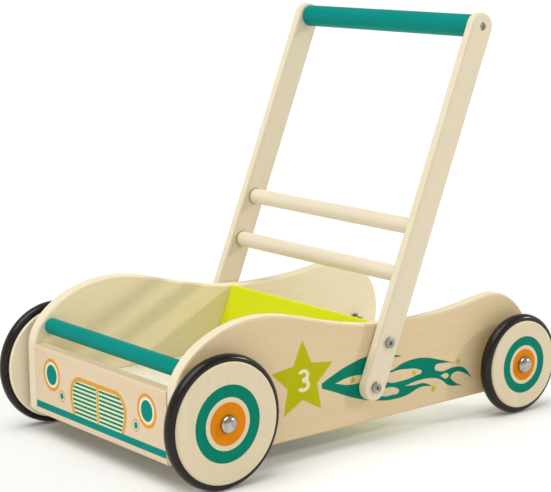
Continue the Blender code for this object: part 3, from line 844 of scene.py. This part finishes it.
def eased_ring(name, part, end, side, sign, body, material, inner, ease):
    """A washer, spacer or bush: a turned ring with its rims eased."""
    low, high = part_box(f"{part}_{end}_left")
    outer = (high.z - low.z) / 2
    profile = [(low.x, inner + ease), (low.x, outer - ease), (low.x + ease, outer)]
    profile += [(high.x - ease, outer), (high.x, outer - ease), (high.x, inner + ease)]
    profile += [(high.x - ease, inner), (low.x + ease, inner)]
    shape = turned(profile, SMALL_STEPS, ENDS[end])
    mirror(shape, sign)
    finished(name, shape, body, [material], [f"{part}_{end}_{side}"])


def wheel_station(end, side, sign, finish):
    wheel(end, side, sign, finish)
    tyre(end, side, sign, finish)
    axle_bolt(end, side, sign, finish)
    axle_nut(end, side, sign, finish)
    rings = (
        ("wheel_bush", f"{end}_{side}_wheel", "white_nylon", "nylon", AXLE_RADIUS + 0.0001, 0.0002),
        ("axle_spacer", "chassis", "white_nylon", "nylon", AXLE_RADIUS + GAP, 0.0005),
        ("axle_washer", "chassis", "zinc_steel", "zinc", AXLE_RADIUS + GAP, 0.0003),
    )
    for part, body, slot, key, inner, ease in rings:
        name = f"{part}_{end}_{side}_turned"
        eased_ring(name, part, end, side, sign, body, finish[key], inner, ease)


# Bolts, screws and dowels


def post_bolt(level, side, sign, finish):
    """A low-headed bolt with a hexagon socket."""
    name = f"post_bolt_{level}_{side}"
    low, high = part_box(f"post_bolt_{level}_left")
    centre = level_with(f"post_bolt_{level}_left")
    head = half_height(f"post_bolt_{level}_left")
    seat = POST_HIGH.x + GAP
    top = high.x
    ease, crown_deep, crown_wide = 0.0003, 0.0009, 0.0013
    dish_depth, dish_rim, dish_floor = 0.0002, 0.0030, 0.0026
    profile = [(low.x, 0), (low.x, BOLT_RADIUS), (seat, BOLT_RADIUS), (seat, head - 0.0002)]
    profile += arc((seat + ease, head - ease), ease, 180, 90, 2)[1:]
    profile += arc((top - crown_deep, head - crown_wide), (crown_deep, crown_wide), 90, 0, 8)
    profile += [(top, dish_rim), (top - dish_depth, dish_floor), (top - dish_depth, 0)]
    shape = turned(profile, 64, centre)
    shape = carved(shape, [hexagon(top - SOCKET_DEPTH, top + 0.001, SOCKET_FLATS, centre)])
    mirror(shape, sign)
    finished(f"{name}_socketed", shape, "chassis", [finish["zinc"]], [name])


def cross_recess(face, centre, turn):
    """Two tapered wings that meet in a point, for the driver."""
    depth, half_wide, half_long = 0.0016, 0.0004, 0.0019
    wings = []
    for quarter in (0, pi / 2):
        shape = box((face - depth, -half_wide, -half_long), (face + 0.001, half_wide, half_long))
        bottom = [vert for vert in shape.verts if vert.co.x < face]
        bmesh.ops.scale(shape, verts=bottom, vec=(1, 0.6, 0.35))
        spin = Matrix.Rotation(turn + quarter, 3, "X")
        bmesh.ops.rotate(shape, verts=shape.verts, cent=(0, 0, 0), matrix=spin)
        shift(shape, centre)
        wings.append(shape)
    return wings


def wood_screw(name, side, sign, turn, finish):
    """A countersunk screw at the bottom of its recess."""
    node = f"{name}_{side}"
    low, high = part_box(f"{name}_left")
    centre = level_with(f"{name}_left")
    top = high.x
    head = SCREW_HEAD_RADIUS
    profile = [(low.x, 0), (low.x + 2 * SCREW_RADIUS, SCREW_RADIUS * 0.9)]
    profile += [(top - SCREW_HEAD, SCREW_RADIUS), (top - 0.0006, head), (top - 0.0003, head)]
    profile += arc((top - 0.0004, 0), (0.0004, head - 0.0002), 90, 0, 6)
    profile[-1] = (profile[-1][0], 0)
    shape = carved(turned(profile, SMALL_STEPS, centre), cross_recess(top, centre, turn))
    mirror(shape, sign)
    finished(f"{node}_crossed", shape, "chassis", [finish["zinc"]], [node])


def barrel_nut(level, side, sign, finish):
    """A cross dowel, tapped across its middle and slotted at the end that shows."""
    node = f"barrel_nut_{level}_{side}"
    place = middle(f"barrel_nut_{level}_left")
    half = BARREL_HALF_LENGTH
    shape = rod(-half, half, BARREL_RADIUS, chamfer=0.0004)
    low_corner = (half - BARREL_SLOT_DEPTH, -BARREL_SLOT_HALF, -PAST)
    shape = carved(shape, [box(low_corner, (half + PAST, BARREL_SLOT_HALF, PAST))])
    quarter_turn(shape)
    shift(shape, place)
    shape = leaned(shape, place)
    tapping = rod(place.x - PAST, place.x + PAST, BOLT_RADIUS + GAP, (0, place.y, place.z))
    shape = carved(shape, [tapping])
    mirror(shape, sign)
    finished(f"{node}_slotted", shape, "chassis", [finish["zinc"]], [node])


# Prints

TIP = "tip"  # ends a point of a curved outline that comes to a tip


def ink(name, outlines, place, material, lift=INK, curved=False):
    """A thin film of ink inside the outlines, on the face that the matrix gives.

    An outline is a closed run of (x, y) points, joined by straight lines. With curved set, it flows
    smoothly through them, except at a point that ends in TIP.
    """
    drawing = bpy.data.curves.new(name, "CURVE")
    drawing.dimensions = "2D"
    drawing.fill_mode = "BOTH"
    drawing.extrude = lift
    drawing.resolution_u = 10
    for outline in outlines:
        spline = drawing.splines.new("BEZIER" if curved else "POLY")
        if curved:
            spline.bezier_points.add(len(outline) - 1)
            for point, (x, y, *tip) in zip(spline.bezier_points, outline):
                point.co = (x, y, 0)
                point.handle_left_type = point.handle_right_type = "VECTOR" if tip else "AUTO"
        else:
            spline.points.add(len(outline) - 1)
            for point, (x, y) in zip(spline.points, outline):
                point.co = (x, y, 0, 1)
        spline.use_cyclic_u = True
    flat = in_scene(name, drawing)
    shape = evaluated(flat)
    bpy.data.objects.remove(flat, do_unlink=True)
    bmesh.ops.remove_doubles(shape, verts=shape.verts, dist=1e-6)
    bmesh.ops.transform(shape, matrix=place, verts=shape.verts)
    finished(name, shape, "chassis", [material])


def on_side(sign, along=0.0, up=0.0, readable=False):
    """Drawing plane on a side panel's outer face: x runs to the tail, or to the reader's right."""
    run = sign if readable else 1
    columns = Matrix(((0, 0, sign), (run, 0, 0), (0, 1, 0)))
    place = (sign * OUTER, FRONT_AXLE.y + along, up)
    return Matrix.Translation(place) @ columns.to_4x4()


def on_front(across=0.0, up=0.0):
    """Drawing plane on the front panel's face: x runs to +X."""
    columns = Matrix(((1, 0, 0), (0, 0, -1), (0, 1, 0)))
    return Matrix.Translation((across, FRONT_LOW.y, up)) @ columns.to_4x4()


def star(radius, inner_share=0.485, centre=(0, 0), turn=0.0):
    points = []
    for step in range(10):
        reach = radius if step % 2 == 0 else radius * inner_share
        angle = radians(90 + turn + 36 * step)
        points.append((centre[0] + reach * cos(angle), centre[1] + reach * sin(angle)))
    return points


def circle(radius, centre=(0, 0), steps=96):
    return arc(centre, radius, 0, 360 * (steps - 1) / steps, steps - 1)


def numeral_three():
    """A round-shouldered 3: two bowls drawn round, with a short tongue between them."""
    top, bottom = (-0.0002, 0.0058), (0.0, -0.0053)
    points = arc(top, (0.0077, 0.0065), 158, -32, 24)
    points += arc(bottom, (0.0088, 0.0071), 38, -152, 28)
    points += arc(bottom, (0.0042, 0.0030), -146, 80, 22)
    points += [(-0.0019, -0.0022), (-0.0019, 0.0024)]
    points += arc(top, (0.0035, 0.0027), -78, 146, 20)
    return points


# Flames and the gaps in them: distance behind the front axle and height
FLAME = (
    (0.1450, 0.0795, TIP), (0.1590, 0.0855), (0.1830, 0.0935), (0.2100, 0.0985), (0.2360, 0.0968),
    (0.2610, 0.0902, TIP), (0.2460, 0.0900), (0.2330, 0.0850), (0.2330, 0.0780), (0.2450, 0.0768),
    (0.2610, 0.0818), (0.2790, 0.0838), (0.2970, 0.0822), (0.3190, 0.0760), (0.3420, 0.0686, TIP),
    (0.3250, 0.0714), (0.3105, 0.0686), (0.3190, 0.0628), (0.3400, 0.0638), (0.3550, 0.0612),
    (0.3700, 0.0460, TIP), (0.3560, 0.0546), (0.3430, 0.0578), (0.3356, 0.0535), (0.3410, 0.0470),
    (0.3520, 0.0408, TIP), (0.3330, 0.0440), (0.3190, 0.0534), (0.3050, 0.0573), (0.2880, 0.0582),
    (0.2650, 0.0556, TIP), (0.2790, 0.0540), (0.2940, 0.0536), (0.3070, 0.0480, TIP),
    (0.2890, 0.0498), (0.2690, 0.0446), (0.2490, 0.0434), (0.2260, 0.0460), (0.2010, 0.0522),
    (0.1830, 0.0586), (0.1640, 0.0668), (0.1455, 0.0742, TIP),
)
FLAME_GAPS = (
    (
        (0.1640, 0.0764, TIP), (0.1830, 0.0800), (0.2050, 0.0790), (0.2260, 0.0740, TIP),
        (0.2050, 0.0716), (0.1830, 0.0716),
    ),
    (
        (0.2340, 0.0705), (0.2480, 0.0748), (0.2690, 0.0742), (0.2860, 0.0706), (0.2905, 0.0674),
        (0.2820, 0.0646), (0.2600, 0.0622), (0.2390, 0.0648),
    ),
    (
        (0.2240, 0.0560, TIP), (0.2390, 0.0582), (0.2520, 0.0556), (0.2565, 0.0514),
        (0.2450, 0.0488), (0.2320, 0.0500),
    ),
    (
        (0.3195, 0.0574, TIP), (0.3270, 0.0590), (0.3325, 0.0560), (0.3290, 0.0528),
    ),
)

# Stars: distance behind the front axle, height and radius
SMALL_STARS = (
    (0.189, 0.0756, 0.0047), (0.279, 0.0680, 0.0038), (0.3470, 0.0690, 0.0042),
    (0.3515, 0.0404, 0.0026), (0.3085, 0.0442, 0.0048),
)
BIG_STAR = (0.1187, 0.088, 0.0435)


def side_prints(side, sign, finish):
    plane = on_side(sign)
    along, up, radius = BIG_STAR
    ink(f"star_{side}", [star(radius, centre=(along, up))], plane, finish["side_olive"])
    place = on_side(sign, along + 0.0015, up - 0.0005, readable=True)
    ink(f"number_{side}", [numeral_three()], place, finish["side_cream"], INK * 1.6)
    ink(f"flames_{side}", [FLAME, *FLAME_GAPS], plane, finish["side_teal"], curved=True)
    stars = [star(size, 0.45, (y, z), 8) for y, z, size in SMALL_STARS]
    ink(f"small_stars_{side}", stars, plane, finish["side_olive"], INK * 1.3)


def rectangle(left, right, low, high):
    return [(left, low), (right, low), (right, high), (left, high)]


def grille_outline(inset):
    """The grille's frame: flat top, large round shoulders, bowed sides, cut level at the strip."""
    points = [
        (GRILLE_HALF - inset, STRIP_TOP, TIP),
        (GRILLE_HALF + GRILLE_BULGE - inset, GRILLE_SHOULDER),
        (GRILLE_HALF - inset * 0.9, 0.0765 - inset * 0.35),
        (0.0380 - inset * 0.5, 0.0835 - inset),
        (0.0280, GRILLE_TOP - inset, TIP),
    ]
    return points + [(-x, *rest) for x, *rest in reversed(points)]


def grille_half_width(height, inset):
    """Half the grille's clear width at a height, following its shoulders."""
    if height < GRILLE_SHOULDER:
        share = (height - STRIP_TOP) / (GRILLE_SHOULDER - STRIP_TOP)
        return GRILLE_HALF + GRILLE_BULGE * sin(share * pi / 2) - inset
    rise = min(1.0, (height - GRILLE_SHOULDER) / (GRILLE_TOP - GRILLE_SHOULDER - inset * 0.6))
    return GRILLE_HALF + GRILLE_BULGE - inset - 0.0200 * (1 - (1 - rise**2.2) ** 0.5)


def grille(finish):
    face = on_front()
    orange = finish["front_orange"]
    frame_lines = [grille_outline(0.0), grille_outline(GRILLE_STROKE)]
    bar = rectangle(-CENTRE_BAR_HALF, CENTRE_BAR_HALF, STRIP_TOP, CENTRE_BAR_TOP)
    slats = []
    for step in range(SLAT_COUNT):
        low = SLAT_LOW + SLAT_PITCH * step
        high = low + SLAT
        low_reach = grille_half_width(low, GRILLE_CLEAR)
        high_reach = grille_half_width(high, GRILLE_CLEAR)
        for sign in SIDES.values():
            start = sign * SLAT_START
            slats.append([(start, low), (sign * low_reach, low), (sign * high_reach, high), (start, high)])
    field = [grille_outline(GRILLE_FIELD)]
    ink("grille_field", field, face, finish["front_mint"], INK * 0.8, True)
    ink("grille_frame", frame_lines, face, orange, INK * 1.3, True)
    ink("grille_bar", [bar], face, orange, INK * 1.2)
    ink("grille_slats", slats, face, finish["slat_teal"], INK * 1.1)


def lamps(side, sign, finish):
    cream, teal = finish["front_cream"], finish["front_teal"]
    orange, amber = finish["front_orange"], finish["front_amber"]
    lamp = on_front(sign * LAMP[0], LAMP[1])
    fog = on_front(sign * FOG[0], FOG[1])
    films = (
        ("lamp_field", [LAMP_FIELD], lamp, cream, "birch_plywood", 0.8),
        ("lamp_ring", LAMP_RING, lamp, orange, "birch_plywood", 1.2),
        ("lamp_lens", [LAMP_LENS], lamp, teal, "teal_paint", 1.1),
        ("fog_field", [FOG_FIELD], fog, cream, "birch_plywood", 0.8),
        ("fog_ring", FOG_RING, fog, amber, "birch_plywood", 1.0),
        ("fog_lens", [FOG_LENS], fog, teal, "teal_paint", 1.0),
    )
    for name, ovals, place, material, slot, lift in films:
        ink(f"{name}_{side}", [circle(oval) for oval in ovals], place, material, INK * lift)


def front_prints(finish):
    strip = rectangle(-STRIP_HALF, STRIP_HALF, STRIP_LOW, STRIP_TOP)
    ink("front_strip", [strip], on_front(), finish["front_teal"])
    grille(finish)
    for side, sign in SIDES.items():
        lamps(side, sign, finish)


# Studio


def studio_floor():
    """A wide sheet of pale matt card with a very faint tooth."""
    shape = bmesh.new()
    bmesh.ops.create_grid(shape, x_segments=4, y_segments=4, size=40)
    floor = in_scene("studio_floor", mesh_of("studio_floor", shape))
    material, tree, shader = started("pale_card", Roughness=0.75, Specular_IOR_Level=0.2)
    tooth = stretched_noise(tree, object_place(tree), (60, 60, 60), detail=2.0)
    light, dark = CARD
    tree.links.new(mixed(tree, tooth, dark, light), shader.inputs["Base Color"])
    relief(tree, shader, tooth, 0.02, 0.0005)
    floor.data.materials.append(material)


def soft_sun(name, strength, spread_angle, comes_from, colour=(1, 1, 1)):
    lamp = bpy.data.lights.new(name, "SUN")
    lamp.energy = strength
    lamp.angle = radians(spread_angle)
    lamp.color = colour
    in_scene(name, lamp).rotation_euler = Vector(comes_from).to_track_quat("Z", "Y").to_euler()


def studio_light():
    """A pale sky, brighter at the horizon, a broad lamp overhead and a low one behind the left side."""
    world = bpy.data.worlds.new("studio")
    world.use_nodes = True
    tree = world.node_tree
    sky = tree.nodes["Background"]
    sky.inputs["Color"].default_value = (1.0, 0.997, 0.99, 1)
    direction = add_node(tree, "ShaderNodeTexCoord").outputs["Generated"]
    split = add_node(tree, "ShaderNodeSeparateXYZ", {0: direction})
    tree.links.new(spread(tree, split.outputs["Z"], 0.08, 0.35, 1.05, 0.50), sky.inputs["Strength"])
    bpy.context.scene.world = world
    soft_sun("overhead_key", 1.85, 50, (0.0, -0.30, 0.95))
    soft_sun("low_side_light", 1.0, 4, (0.50, 0.85, 0.42), (1.0, 0.97, 0.90))
    bpy.context.scene.view_settings.view_transform = "Standard"


def studio_camera():
    """Eye at a standing adult's distance, a little above the tray, looking down at its front corner."""
    camera = bpy.data.cameras.new("camera")
    camera.lens = 112.9
    camera.sensor_width = 36
    camera.shift_x = 0.0053
    camera.shift_y = -0.0131
    holder = in_scene("camera", camera)
    heading, dip, lean = 51.33, 10.73, -0.49
    turn = Matrix.Rotation(radians(heading), 3, "Z")
    look = Matrix.Rotation(radians(90 - dip), 3, "X")
    roll = Matrix.Rotation(radians(lean), 3, "Z")
    holder.rotation_euler = (turn @ look @ roll).to_euler()
    holder.location = (1.4869, -1.20395, 0.5704)
    bpy.context.scene.camera = holder


def build():
    finish = make_finishes()
    for side, sign in SIDES.items():
        side_panel(side, sign, finish)
        post(side, sign, finish)
        side_prints(side, sign, finish)
        for end in ENDS:
            wheel_station(end, side, sign, finish)
        for level in ("foot", "upper"):
            post_bolt(level, side, sign, finish)
            barrel_nut(level, side, sign, finish)
        for name, turn in SCREW_TURNS.items():
            wood_screw(name, side, sign, turn, finish)
    front_panel(finish)
    rear_panel(finish)
    front_prints(finish)
    rail("lower_rail", finish)
    rail("upper_rail", finish)
    painted_bar("handle_bar", finish)
    painted_bar("front_bar", finish)
    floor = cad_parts["floor_panel"]
    floor.data.materials.clear()
    floor.data.materials.append(finish["floor_wood"])


build()
studio_floor()
studio_light()
studio_camera()
